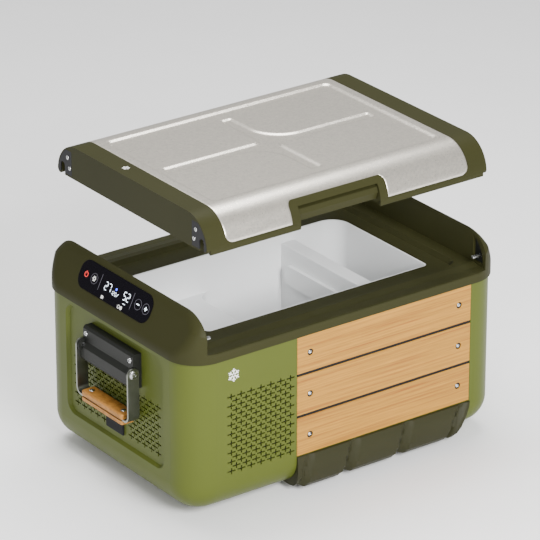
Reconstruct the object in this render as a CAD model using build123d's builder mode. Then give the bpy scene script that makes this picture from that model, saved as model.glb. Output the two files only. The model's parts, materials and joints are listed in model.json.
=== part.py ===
"""Compressor cooler fridge: shell, rim, liner, lift-off lid with latches, carry handles.

Millimetres, +Z up, origin on the floor under the middle of the box.
-Y is the front, -X is the control panel end.
The lid is modelled lifted straight up off its seat by lid_lift.
"""
from build123d import *
from math import atan2, cos, sin, sqrt
import os

os.makedirs("parts", exist_ok=True)

# ---- driving dimensions ----
body_length = 582.0
body_width = 389.0
corner_radius = 50.0
bottom_round = 44.0
wall = 3.0
shell_bottom = 14.0
rim_z = 262.0

rim_overhang = 3.5
crest_z = 281.0
band_z = 277.5
land_z = 273.0
land_x = 232.0
land_y = 151.0
land_taper = 30.0
cheek_top = 337.6
cheek_inner_x = 258.0
cheek_top_x = 261.5
cheek_base_z = 271.0
cheek_round = 50.0
cheek_blend = 24.0

opening_x = 206.0
opening_front = -121.5
opening_rear = 111.5
liner_wall = 2.5
floor_z = 60.0
hump_x = -70.0
hump_z = 208.0

lid_lift = 153.0
lid_length = 513.0
lid_height = 52.5
lid_seat_z = 282.5
lid_z = lid_seat_z + lid_lift
lid_wall = 3.5
lid_end_wall = 7.5
cover_x = 222.5
cover_skin = 1.2

notch_x0 = -89.5
notch_x1 = 56.0
notch_depth = 25.0
notch_height = 31.0

pin_inset = 14.0
pin_height = 14.0
pin_radius = 3.0
running_gap = 0.05

mouth_front_radius = 9.0
mouth_rear_radius = 32.0

panel_length = 186.5
panel_height = 45.0
panel_corner = 18.0
panel_u = -14.3
panel_v = 4.2
panel_sink = 1.6

handle_pivot_x = 303.0
handle_pivot_z = 210.0
strap_half = 69.5
strap_width = 20.0
strap_thick = 3.0
strap_drop = 79.0

# ---- derived places ----
half_length = body_length / 2
half_width = body_width / 2
frame_x = half_length + rim_overhang
frame_y = half_width + rim_overhang
lean = atan2(frame_x - cheek_top_x, cheek_top - cheek_base_z)
lid_half = lid_length / 2
lid_top = lid_z + lid_height
pin_y = half_width - pin_inset
pin_z = lid_seat_z + pin_height


def write(piece, name):
    """Label a finished sub-part and write it as its own STEP file."""
    piece.part.label = name
    export_step(piece.part, f"parts/{name}.step")


def rounded_tub(length, width, radius, low, high, bottom_radius):
    """Solid box with round upright corners and a rounded bottom edge."""
    with BuildPart() as tub:
        with BuildSketch(Plane.XY.offset(low)):
            RectangleRounded(length, width, radius)
        extrude(amount=high - low)
        fillet(tub.faces().sort_by(Axis.Z)[0].edges(), bottom_radius)
    return tub.part


def bar_along_x(points, x_low, x_high):
    """Solid with a straight-sided YZ outline, run along X."""
    with BuildPart() as bar:
        with BuildSketch(Plane.YZ.offset(x_low)):
            with BuildLine():
                Polyline(*points, close=True)
            make_face()
        extrude(amount=x_high - x_low)
    return bar.part


def bar_along_y(points, y_low, y_high):
    """Solid with a straight-sided XZ outline, run along Y."""
    with BuildPart() as bar:
        with BuildSketch(Plane.XZ.offset(-y_high)):
            with BuildLine():
                Polyline(*points, close=True)
            make_face()
        extrude(amount=y_high - y_low)
    return bar.part


def block(x_low, x_high, y_low, y_high, z_low, z_high):
    """Plain block between two corners."""
    with BuildPart() as solid:
        with Locations(((x_low + x_high) / 2, (y_low + y_high) / 2, (z_low + z_high) / 2)):
            Box(x_high - x_low, y_high - y_low, z_high - z_low)
    return solid.part


def both_ends(points):
    """The same XZ outline at the other end of the box."""
    return [(-x, z) for x, z in points]


def arched_bar(half_y, low, straight, top, inset, x_low, x_high, base_inset=0.0):
    """Bar along X whose upper front and rear edges are large arcs, drawn inset from the outside."""
    radius = cheek_round - inset
    side = half_y - inset
    bend = low + straight
    with BuildPart() as bar:
        with BuildSketch(Plane.YZ.offset(x_low)):
            with BuildLine():
                foot = low + base_inset
                Polyline((-side, bend), (-side, foot), (side, foot), (side, bend))
                RadiusArc((side, bend), (side - radius, top - inset), -radius)
                Line((side - radius, top - inset), (radius - side, top - inset))
                RadiusArc((radius - side, top - inset), (-side, bend), -radius)
            make_face()
        extrude(amount=x_high - x_low)
    return bar.part


# ---- vent pattern: plus-shaped holes in two interleaved grids ----
vent_pitch_x = 17.9
vent_pitch_z = 15.2
plus_width = 14.5
plus_height = 10.0
plus_bar = 2.4


def plus_outline(x, z):
    """Closed wire of one plus-shaped hole."""
    w, h, t = plus_width / 2, plus_height / 2, plus_bar / 2
    corner = [(w, t), (t, t), (t, h)]
    points = corner + [(-a, b) for a, b in reversed(corner)]
    points += [(-a, -b) for a, b in corner] + [(a, -b) for a, b in reversed(corner)]
    return Wire.make_polygon([(x + a, z + b) for a, b in points], close=True)


def vent_face(width, low, high, columns, rows, middle, keep_out=None):
    """Flat grille face: a full grid of plus holes and a second grid in the gaps between."""
    holes = []
    for count_x, count_z in ((columns, rows), (columns - 1, rows - 1)):
        for i in range(count_x):
            for j in range(count_z):
                x = (i - (count_x - 1) / 2) * vent_pitch_x
                z = middle + (j - (count_z - 1) / 2) * vent_pitch_z
                if keep_out:
                    off_x, off_z = abs(x - keep_out[0]), abs(z - keep_out[1])
                    if off_x < keep_out[2] and off_z < keep_out[3]:
                        continue
                holes.append(plus_outline(x, z))
    if keep_out:
        x, z = keep_out[:2]
        w, h = socket_width / 2, socket_height / 2
        corners = [(x - w, z - h), (x + w, z - h), (x + w, z + h), (x - w, z + h)]
        holes.append(Wire.make_polygon(corners, close=True))
    border = [(-width / 2, low), (width / 2, low), (width / 2, high), (-width / 2, high)]
    return Face(Wire.make_polygon(border, close=True), holes)


vent_x = -161.8
vent_z = 138.0
vent_columns = 7
vent_rows = 9
end_vent_z = 130.0
end_vent_columns = 13
end_vent_rows = 6
vent_width = vent_columns * vent_pitch_x
vent_height = vent_rows * vent_pitch_z
vent_bottom = vent_z - vent_height / 2
vent_top = vent_z + vent_height / 2
end_vent_width = end_vent_columns * vent_pitch_x
end_panel_z0 = 79.0
end_panel_z1 = 176.0

# ---- outer shell ----
pocket_x0 = -96.4
pocket_x1 = 231.8
pocket_z0 = 65.5
pocket_depth = 8.0
recess_half = 125.0
recess_z0 = 75.0
recess_z1 = 250.0
recess_depth = 5.0
recess_floor_x = half_length - recess_depth
socket_y = 4.0
socket_z = 98.5
socket_width = 38.0
socket_height = 18.0
slat_screw_x = (-72.3, 208.3)
slat_screw_z = (231.8, 163.8, 96.4)
pan_length = 430.0
pan_width = 236.0

with BuildPart() as outer_shell:
    add(rounded_tub(body_length, body_width, corner_radius, shell_bottom, rim_z, bottom_round))
    add(
        rounded_tub(
            body_length - 2 * wall, body_width - 2 * wall, corner_radius - wall,
            shell_bottom + wall, rim_z + 1, bottom_round - wall,
        ),
        mode=Mode.SUBTRACT,
    )
    for side in (-1, 1):
        face = side * half_width
        back = side * (half_width - pocket_depth - wall)
        low, high = sorted((face - side * 1.5, back))
        add(block(pocket_x0 - wall, pocket_x1 + wall, low, high, pocket_z0 - wall, rim_z))
        low, high = sorted((face + side * 5, face - side * pocket_depth))
        add(block(pocket_x0, pocket_x1, low, high, pocket_z0, rim_z + 5), mode=Mode.SUBTRACT)
        low, high = sorted((face + side * 5, face - side * 15))
        for x in slat_screw_x:
            for z in slat_screw_z:
                with Locations(Location((x, (low + high) / 2, z), (90, 0, 0))):
                    Cylinder(2.1, high - low, mode=Mode.SUBTRACT)
    for side in (-1, 1):
        outside = side * half_length
        inside = side * (recess_floor_x - wall)
        low, high = sorted((outside - side * 1.5, inside))
        thick = recess_half + 4
        add(block(low, high, -thick, thick, recess_z0 - 4, recess_z1 + 4))
        with BuildSketch(Plane.YZ.offset(side * recess_floor_x)):
            with Locations((0, (recess_z0 + recess_z1) / 2)):
                RectangleRounded(2 * recess_half, recess_z1 - recess_z0, 16)
        extrude(amount=side * 20, taper=-38, mode=Mode.SUBTRACT)
    with BuildSketch(Plane.XZ.offset(-half_width - 2)):
        with Locations((vent_x, vent_z)):
            Rectangle(vent_width, vent_height)
    extrude(amount=body_width + 4, mode=Mode.SUBTRACT)
    with BuildSketch(Plane.YZ.offset(-half_length - 2)):
        with Locations((0, (end_panel_z0 + end_panel_z1) / 2)):
            Rectangle(end_vent_width, end_panel_z1 - end_panel_z0)
    extrude(amount=recess_depth + wall + 4, mode=Mode.SUBTRACT)
    with BuildSketch(Plane.XY.offset(shell_bottom - 1)):
        RectangleRounded(pan_length, pan_width, 20)
    extrude(amount=wall + 2, mode=Mode.SUBTRACT)
write(outer_shell, "outer_shell")


# ---- vent grilles: flush panels in the shell's three windows ----
with BuildPart() as front_vent_grille:
    with BuildSketch(Plane((vent_x, -half_width + wall, 0), x_dir=(1, 0, 0), z_dir=(0, -1, 0))):
        add(vent_face(vent_width, vent_bottom, vent_top, vent_columns, vent_rows, vent_z))
    extrude(amount=wall)
write(front_vent_grille, "front_vent_grille")

with BuildPart() as rear_vent_grille:
    with BuildSketch(Plane((vent_x, half_width, 0), x_dir=(1, 0, 0), z_dir=(0, -1, 0))):
        add(vent_face(vent_width, vent_bottom, vent_top, vent_columns, vent_rows, vent_z))
    extrude(amount=wall)
write(rear_vent_grille, "rear_vent_grille")

socket_room = (socket_y, socket_z, socket_width / 2 + 12, socket_height / 2 + 13)
with BuildPart() as end_vent_grille:
    with BuildSketch(Plane.YZ.offset(-recess_floor_x)):
        add(vent_face(
            end_vent_width, end_panel_z0, end_panel_z1, end_vent_columns, end_vent_rows,
            end_vent_z, socket_room,
        ))
    extrude(amount=wall)
write(end_vent_grille, "end_vent_grille")

# ---- base pan and feet ----
with BuildPart() as base_pan:
    with BuildSketch(Plane.XY.offset(shell_bottom)):
        RectangleRounded(pan_length - 0.6, pan_width - 0.6, 19.7)
    extrude(amount=wall)
    with BuildSketch(Plane.XY.offset(shell_bottom + wall)):
        RectangleRounded(pan_length + 16, pan_width + 16, 26)
    extrude(amount=2.5)
    with Locations((60, 70, shell_bottom)):
        Cylinder(7, 20, mode=Mode.SUBTRACT)
write(base_pan, "base_pan")

foot_x = 200.0
foot_y = 104.0
foot_radius = 14.0
with BuildPart() as rubber_feet:
    with BuildSketch():
        with GridLocations(2 * foot_x, 2 * foot_y, 2, 2):
            Circle(foot_radius)
    extrude(amount=shell_bottom)
    chamfer(rubber_feet.faces().group_by(Axis.Z)[0].edges(), 1.5)
write(rubber_feet, "rubber_feet")

# ---- top frame: rim, deck and the two raised end cheeks ----
pocket_y0 = 165.0
pocket_y1 = 188.0
pocket_arc_z = 290.0
pocket_top_z = 325.0
keeper_pocket_depth = 6.0
keeper_gap = 0.5
with BuildPart() as top_frame:
    with BuildSketch(Plane.XY.offset(rim_z)):
        RectangleRounded(2 * frame_x, 2 * frame_y, corner_radius + rim_overhang)
    extrude(amount=cheek_top - rim_z)
    add(
        arched_bar(frame_y, rim_z - 1, cheek_top - rim_z + 1 - cheek_round, cheek_top, 0,
                   -frame_x - 1, frame_x + 1),
        mode=Mode.INTERSECT,
    )
    slope = [(frame_x + 2, rim_z - 1), (frame_x + 2, cheek_top + 5), (cheek_top_x - 2.6, cheek_top + 5),
             (cheek_top_x, cheek_top), (frame_x, cheek_base_z), (frame_x, rim_z - 1)]
    add(bar_along_y(slope, -frame_y - 5, frame_y + 5), mode=Mode.SUBTRACT)
    add(bar_along_y(both_ends(slope), -frame_y - 5, frame_y + 5), mode=Mode.SUBTRACT)
    raised = top_frame.edges().filter_by(lambda e: e.center().Z > cheek_base_z + 1)
    outer = raised.filter_by(lambda e: abs(e.center().X) > cheek_top_x and abs(e.center().Y) > 20)
    fillet(outer, cheek_blend)
    between = block(-cheek_inner_x, cheek_inner_x, -frame_y - 5, frame_y + 5, crest_z, cheek_top + 5)
    add(between, mode=Mode.SUBTRACT)
    for side in (-1, 1):
        rim_slope = [
            (side * (frame_y + 2), band_z - 1), (side * (frame_y - 1), band_z - 1),
            (side * (frame_y - 1), band_z), (side * 180, 278.5), (side * 166, crest_z),
            (side * 166, crest_z + 4), (side * (frame_y + 2), crest_z + 4),
        ]
        add(bar_along_x(rim_slope, -cheek_inner_x, cheek_inner_x), mode=Mode.SUBTRACT)
    with BuildSketch(Plane.XY.offset(land_z)):
        RectangleRounded(2 * land_x, 2 * land_y, 14)
    extrude(amount=12, taper=-land_taper, mode=Mode.SUBTRACT)
    with BuildSketch(Plane.XY.offset(rim_z - 1)):
        RectangleRounded(body_length - 2 * wall, body_width - 2 * wall, corner_radius - wall)
        with Locations((0, (opening_front + opening_rear) / 2)):
            Rectangle(2 * opening_x + 8, opening_rear - opening_front + 8, mode=Mode.SUBTRACT)
    extrude(amount=9, mode=Mode.SUBTRACT)
    with BuildSketch(Plane.XY.offset(rim_z - 1)) as mouth:
        with Locations((0, (opening_front + opening_rear) / 2)):
            Rectangle(2 * opening_x, opening_rear - opening_front)
        fillet(mouth.vertices().group_by(Axis.Y)[0], mouth_front_radius)
        fillet(mouth.vertices().group_by(Axis.Y)[-1], mouth_rear_radius)
    extrude(amount=30, mode=Mode.SUBTRACT)
    hollow = [(-261.5, rim_z - 1), (-287.5, rim_z - 1), (-287.5, 272), (-266, 313), (-261.5, 313)]
    add(bar_along_y(hollow, -126, 126), mode=Mode.SUBTRACT)
    add(bar_along_y(both_ends(hollow), -126, 126), mode=Mode.SUBTRACT)
    for side in (-1, 1):
        for end in (-1, 1):
            low, high = sorted((end * (cheek_inner_x - 1), end * (cheek_inner_x + keeper_pocket_depth)))
            with BuildSketch(Plane.YZ.offset(low)):
                with BuildLine():
                    Line((side * pocket_y0, crest_z + 2), (side * pocket_y1, crest_z + 2))
                    Line((side * pocket_y1, crest_z + 2), (side * pocket_y1, pocket_arc_z))
                    ThreePointArc(
                        (side * pocket_y1, pocket_arc_z), (side * 181, 311), (side * pocket_y0, pocket_top_z)
                    )
                    Line((side * pocket_y0, pocket_top_z), (side * pocket_y0, crest_z + 2))
                make_face()
            extrude(amount=high - low, mode=Mode.SUBTRACT)
            with Locations(Location((end * 266, side * pin_y, pin_z), (0, 90, 0))):
                Cylinder(pin_radius + running_gap, 14, mode=Mode.SUBTRACT)
    panel_plane = Plane(
        (-(frame_x + cheek_top_x) / 2, 0, (cheek_base_z + cheek_top) / 2),
        x_dir=(0, -1, 0), z_dir=(-cos(lean), 0, sin(lean)),
    )
    with BuildSketch(panel_plane):
        with Locations((panel_u, panel_v)):
            RectangleRounded(panel_length, panel_height, panel_corner)
    extrude(amount=-panel_sink, mode=Mode.SUBTRACT)
write(top_frame, "top_frame")

# ---- keeper plates and pins in the cheek pockets ----
with BuildPart() as keeper_plates:
    for side in (-1, 1):
        for end in (-1, 1):
            outer = end * (cheek_inner_x + keeper_pocket_depth)
            low, high = sorted((outer, outer - end * 2))
            inner_y = side * (pocket_y0 + keeper_gap)
            outer_y = side * (pocket_y1 - keeper_gap)
            foot = crest_z + 2 + keeper_gap
            top = pocket_top_z - 2 * keeper_gap
            with BuildSketch(Plane.YZ.offset(low)):
                with BuildLine():
                    Line((inner_y, foot), (outer_y, foot))
                    Line((outer_y, foot), (outer_y, pocket_arc_z))
                    ThreePointArc((outer_y, pocket_arc_z), (side * 180.4, 310.5), (inner_y, top))
                    Line((inner_y, top), (inner_y, foot))
                make_face()
                with Locations((side * pin_y, pin_z)):
                    Circle(pin_radius + running_gap, mode=Mode.SUBTRACT)
            extrude(amount=high - low)
write(keeper_plates, "keeper_plates")

pin_tip_x = 243.5
pin_root_x = 272.0


def pin_pair(side):
    """Two pins on one axis along X, one in each cheek."""
    with BuildPart() as pins:
        for end in (-1, 1):
            with Locations(Location((end * (pin_tip_x + pin_root_x) / 2, side * pin_y, pin_z), (0, 90, 0))):
                Cylinder(pin_radius, pin_root_x - pin_tip_x)
        chamfer(pins.edges().filter_by(GeomType.CIRCLE), 0.6)
    return pins.part


with BuildPart() as front_keeper_pins:
    add(pin_pair(-1))
write(front_keeper_pins, "front_keeper_pins")

with BuildPart() as rear_hinge_pins:
    add(pin_pair(1))
write(rear_hinge_pins, "rear_hinge_pins")

# ---- inner liner with the compressor hump ----


def liner_space(grow, top):
    """Solid filling the liner, grown outwards by grow, up to top."""
    with BuildPart() as space:
        with BuildSketch(Plane.XY.offset(floor_z - grow)) as deep:
            with Locations(((hump_x + opening_x) / 2, (opening_front + opening_rear) / 2)):
                Rectangle(opening_x - hump_x + 2 * grow, opening_rear - opening_front + 2 * grow)
            fillet(deep.vertices().group_by(Axis.Y)[0], 20 + grow)
            fillet(deep.vertices().group_by(Axis.Y)[-1], mouth_rear_radius + grow)
        extrude(amount=top - floor_z + grow)
        fillet(space.faces().sort_by(Axis.Z)[0].edges(), 16 + grow)
        with BuildSketch(Plane.XY.offset(hump_z - grow)) as shallow:
            with Locations((0, (opening_front + opening_rear) / 2)):
                Rectangle(2 * opening_x + 2 * grow, opening_rear - opening_front + 2 * grow)
            fillet(shallow.vertices().group_by(Axis.Y)[0], mouth_front_radius + grow)
            fillet(shallow.vertices().group_by(Axis.Y)[-1], mouth_rear_radius + grow)
        extrude(amount=top - hump_z + grow)
    return space.part


with BuildPart() as inner_liner:
    add(liner_space(0, land_z - 0.5))
    add(liner_space(-liner_wall, land_z + 1), mode=Mode.SUBTRACT)
    with Locations((60, 70, floor_z)):
        Cylinder(7, 20, mode=Mode.SUBTRACT)
write(inner_liner, "inner_liner")

# ---- zone divider standing in the deep part of the liner ----
divider_x0 = 97.0
divider_x1 = 122.0
divider_top = 256.0
divider_gap = 1.0
with BuildPart() as zone_divider:
    with BuildSketch(Plane.XY.offset(floor_z + 18)):
        with Locations(((divider_x0 + divider_x1) / 2, (opening_front + opening_rear) / 2)):
            Rectangle(divider_x1 - divider_x0, opening_rear - opening_front - 2 * liner_wall - divider_gap)
    extrude(amount=divider_top - floor_z - 18)
    chamfer(zone_divider.faces().group_by(Axis.Z)[-1].edges(), 1.2)
    with BuildSketch(Plane.YZ.offset(divider_x0 - 6)):
        with Locations((-5, 211)):
            RectangleRounded(196, 32, 12)
    extrude(amount=7)
write(zone_divider, "zone_divider")

evaporator_x0 = hump_x + 30
evaporator_x1 = opening_x - 40
evaporator_z0 = 90.0
evaporator_z1 = 190.0
evaporator_sides = ((opening_front - 2.0, opening_front - 0.4), (opening_rear + 0.4, opening_rear + 2.0))
drain_x = 60.0
drain_y = 70.0

# ---- foam between liner and shell, clear of the machinery bay ----
bay_x1 = -84.0
bay_z1 = 196.0
with BuildPart() as insulation_foam:
    with BuildSketch(Plane.XY.offset(30)):
        RectangleRounded(body_length - 2 * wall - 2, body_width - 2 * (wall + pocket_depth) - 10, 48)
    extrude(amount=rim_z - 30)
    fillet(insulation_foam.faces().sort_by(Axis.Z)[0].edges(), 30)
    add(liner_space(0.3, rim_z + 10), mode=Mode.SUBTRACT)
    add(block(-half_length, bay_x1, -half_width, half_width, 0, bay_z1), mode=Mode.SUBTRACT)
    foam_stop = recess_floor_x - wall - 1
    foam_gap = recess_half + 6
    add(block(-half_length, -foam_stop, -foam_gap, foam_gap, 0, rim_z + 1), mode=Mode.SUBTRACT)
    add(block(foam_stop, half_length, -foam_gap, foam_gap, 0, rim_z + 1), mode=Mode.SUBTRACT)
    for y_low, y_high in evaporator_sides:
        room = block(
            evaporator_x0 - 1, evaporator_x1 + 1, y_low - 1, y_high + 1, evaporator_z0 - 1, evaporator_z1 + 1
        )
        add(room, mode=Mode.SUBTRACT)
    with Locations((drain_x, drain_y, 30)):
        Cylinder(7, 120, mode=Mode.SUBTRACT)
write(insulation_foam, "insulation_foam")

# ---- slats and their screws ----
slat_rows = {"top": (200.7, 261.5), "middle": (132.7, 196.3), "bottom": (66.0, 128.3)}
slat_face = half_width + 0.8
slat_back = half_width - pocket_depth
for side, side_name in ((-1, "front"), (1, "rear")):
    for row, (low, high) in slat_rows.items():
        with BuildPart() as slat:
            y_low, y_high = sorted((side * slat_back, side * slat_face))
            add(block(pocket_x0 + 0.5, pocket_x1 - 0.5, y_low, y_high, low, high))
            chamfer(slat.faces().sort_by(Axis.Y)[0 if side < 0 else -1].edges(), 0.8)
            for x in slat_screw_x:
                z = min(slat_screw_z, key=lambda value: abs(value - (low + high) / 2))
                with Locations(Location((x, side * (slat_face - 1.2), z), (90, 0, 0))):
                    Cylinder(5.2, 2.4, mode=Mode.SUBTRACT)
                with Locations(Location((x, side * (slat_face - 5), z), (90, 0, 0))):
                    Cylinder(2.1, 12, mode=Mode.SUBTRACT)
        write(slat, f"{side_name}_slat_{row}")

with BuildPart() as slat_screws:
    for side in (-1, 1):
        for x in slat_screw_x:
            for z in slat_screw_z:
                with Locations(Location((x, side * (slat_face - 1.55), z), (90, 0, 0))):
                    Cylinder(4.0, 1.7)
                with Locations(Location((x, side * (slat_face - 7.4), z), (90, 0, 0))):
                    Cylinder(2.0, 10)
write(slat_screws, "slat_screws")

# ---- bumpers under the slats: a base strip with three swollen lobes ----
lobe_ends = (pocket_x0 + 1, -10.0, 91.0, 198.0)
base_outline = [(-150, 65), (-150, 8), (-181, 8), (-193, 13), (-199, 24), (-200, 50), (-196.5, 65)]
lobe_outline = [(-150, 65), (-150, 7), (-182, 7), (-196, 13), (-203, 26), (-204, 50), (-197, 65)]
shell_cutter = rounded_tub(
    body_length + 0.4, body_width + 0.4, corner_radius + 0.2, shell_bottom - 0.2, rim_z, bottom_round + 0.2
)
for side, side_name in ((-1, "front"), (1, "rear")):
    with BuildPart() as bumper:
        base = [(-side * y, z) for y, z in base_outline]
        lobe = [(-side * y, z) for y, z in lobe_outline]
        add(bar_along_x(base, pocket_x0, pocket_x1))
        for start, stop in zip(lobe_ends, lobe_ends[1:]):
            add(bar_along_x(lobe, start + 4, stop - 4))
        add(shell_cutter, mode=Mode.SUBTRACT)
    write(bumper, f"{side_name}_bumper")

# ---- machinery in the bay ----
compressor_x = -176.0
compressor_y = 62.0
compressor_radius = 50.0
pan_top = shell_bottom + wall + 2.5
with BuildPart() as compressor:
    with BuildSketch(Plane.XY.offset(pan_top + 8)):
        with Locations((compressor_x, compressor_y)):
            Circle(compressor_radius)
    extrude(amount=118)
    fillet(compressor.edges().filter_by(GeomType.CIRCLE), 22)
    with BuildSketch(Plane.XY.offset(pan_top + 6)):
        with Locations((compressor_x, compressor_y)):
            RectangleRounded(132, 40, 8)
    extrude(amount=14)
    for dx in (-57, 57):
        with Locations((compressor_x + dx, compressor_y, pan_top + 3)):
            Cylinder(8, 6)
write(compressor, "compressor")

fan_x = -271.0
fan_y = -74.0
fan_z = 118.0
fan_radius = 44.0
with BuildPart() as fan_shroud:
    add(block(fan_x - 12, fan_x + 12, fan_y - 50, fan_y + 50, fan_z - 50, fan_z + 50))
    with Locations(Location((fan_x, fan_y, fan_z), (0, 90, 0))):
        Cylinder(fan_radius + 1.5, 26, mode=Mode.SUBTRACT)
    for turn in (45, 135):
        with Locations(Location((fan_x + 10, fan_y, fan_z), (turn, 0, 0))):
            Box(4, 2 * fan_radius + 8, 8)
    with Locations(Location((fan_x + 3, fan_y, fan_z), (0, 90, 0))):
        Cylinder(3, 14)
write(fan_shroud, "fan_shroud")

with BuildPart() as fan_rotor:
    with Locations(Location((fan_x - 3, fan_y, fan_z), (0, 90, 0))):
        Cylinder(15, 13)
    for blade in range(7):
        tilt = Location((fan_x - 3, fan_y, fan_z)) * Location((0, 0, 0), (blade * 360 / 7, 0, 0))
        with Locations(tilt * Location((0, 0, (fan_radius + 12) / 2), (0, 0, 35))):
            Box(1.8, 18, fan_radius - 12)
    with Locations(Location((fan_x - 3, fan_y, fan_z), (0, 90, 0))):
        Cylinder(3 + running_gap, 16, mode=Mode.SUBTRACT)
write(fan_rotor, "fan_rotor")

with BuildPart() as condenser:
    for index in range(16):
        x = -244 + index * 5.5
        add(block(x, x + 1.2, -125, 0, 32, 168))
    for y in (-112, -82, -52, -22):
        for z in (50, 84, 118, 150):
            with Locations(Location((-202, y, z), (0, 90, 0))):
                Cylinder(4, 90)
write(condenser, "condenser")

with BuildPart() as control_board:
    add(block(-268, -266.4, 44, 136, 60, 150))
    for y in (50, 112):
        for z in (78, 144):
            with Locations(Location((-275.4, y, z), (0, 90, 0))):
                Cylinder(3, 15.2)
    for y, z, depth in ((64, 80, 18), (96, 92, 26), (120, 124, 12), (70, 128, 14)):
        add(block(-266.4, -266.4 + depth, y - 10, y + 10, z - 12, z + 12))
write(control_board, "control_board")

with BuildPart() as evaporator_plates:
    for y_low, y_high in evaporator_sides:
        add(block(evaporator_x0, evaporator_x1, y_low, y_high, evaporator_z0, evaporator_z1))
write(evaporator_plates, "evaporator_plates")

# ---- drain plug in the liner floor, with its tube through the foam and base pan ----
with BuildPart() as drain_plug:
    with Locations((drain_x, drain_y, floor_z + liner_wall + 1.5)):
        Cylinder(12, 3)
    with Locations((drain_x, drain_y, (floor_z + liner_wall + shell_bottom - 4) / 2)):
        Cylinder(7, floor_z + liner_wall - shell_bottom + 4)
    with Locations((drain_x, drain_y, shell_bottom - 4)):
        Cylinder(11, 3, align=(Align.CENTER, Align.CENTER, Align.MIN))
write(drain_plug, "drain_plug")

# ---- power socket behind a hinged rubber cover ----
socket_back_x = -recess_floor_x + wall
socket_half_y = socket_width / 2
socket_half_z = socket_height / 2
contact_y = (socket_y - 8, socket_y + 8)
with BuildPart() as power_socket:
    add(block(
        -recess_floor_x + 0.6, socket_back_x + 18,
        socket_y - socket_half_y + 0.4, socket_y + socket_half_y - 0.4,
        socket_z - socket_half_z + 0.4, socket_z + socket_half_z - 0.4,
    ))
    add(block(
        socket_back_x, socket_back_x + 2.5,
        socket_y - socket_half_y - 5, socket_y + socket_half_y + 5,
        socket_z - socket_half_z - 5, socket_z + socket_half_z + 5,
    ))
    for y in contact_y:
        with Locations(Location((-recess_floor_x + 6, y, socket_z), (0, 90, 0))):
            Cylinder(5.5, 14, mode=Mode.SUBTRACT)
write(power_socket, "power_socket")

flap_low = 85.5
flap_high = 111.5
flap_half = 22.0
flap_gap = 0.4
flap_thick = 3.0
flap_pivot_x = -recess_floor_x - flap_gap - flap_thick / 2
flap_pivot_z = flap_low + flap_thick / 2
with BuildPart() as socket_cover:
    add(block(
        -recess_floor_x - flap_gap - flap_thick, -recess_floor_x - flap_gap,
        socket_y - flap_half, socket_y + flap_half, flap_low, flap_high,
    ))
    fillet(socket_cover.edges().filter_by(Axis.Y).group_by(Axis.Z)[0], 1.45)
    fillet(socket_cover.edges().filter_by(Axis.X).group_by(Axis.Z)[-1], 5)
    for y in contact_y:
        with Locations(Location((-recess_floor_x + 0.8, y, socket_z), (0, 90, 0))):
            Cylinder(4.6, 2.6)
write(socket_cover, "socket_cover")

# ---- control panel and its four push buttons on the sloping cheek ----
button_places = {"power_button": -90.2, "settings_button": -69.3, "minus_button": 45.8, "plus_button": 65.9}
button_radius = 7.0
button_travel = 0.8
panel_thick = 2.4
with BuildPart() as control_panel:
    with BuildSketch(panel_plane.offset(-panel_sink)):
        with Locations((panel_u, panel_v)):
            RectangleRounded(panel_length - 0.6, panel_height - 0.6, panel_corner - 0.3)
        for u in button_places.values():
            with Locations((u, panel_v)):
                Circle(button_radius + 0.15, mode=Mode.SUBTRACT)
    extrude(amount=panel_thick)
write(control_panel, "control_panel")

for name, u in button_places.items():
    with BuildPart() as button:
        with BuildSketch(panel_plane.offset(-panel_sink + button_travel + 0.2)):
            with Locations((u, panel_v)):
                Circle(button_radius)
        extrude(amount=panel_thick - button_travel)
        chamfer(button.edges().sort_by(Axis.X)[0], 0.3)
    write(button, name)

# ---- carry handles: bracket, flat steel strap, two-part wooden grip ----
bracket_half = 66.0
bracket_end = 4.0
grip_half = 54.0
grip_width = 24.0
grip_screw_y = 42.0
bracket_screw_y = 58.0
bracket_screw_z = 229.0
bracket_face_x = 301.0
bar_z = handle_pivot_z - strap_drop + strap_thick / 2
pivot_radius = 4.0
boss_radius = 9.5
screw_radius = 2.1
bracket_outline = [
    (286, 240), (298, 240), (301, 236), (301, 216), (307, 208), (307, 190), (302, 184), (286, 184),
]
bracket_cavity = [(285, 234), (296, 234), (297.5, 215), (303, 207), (303, 191), (300, 187.5), (285, 187.5)]
arm_top = handle_pivot_z + strap_width / 2
strap_foot = handle_pivot_z - strap_drop

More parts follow.
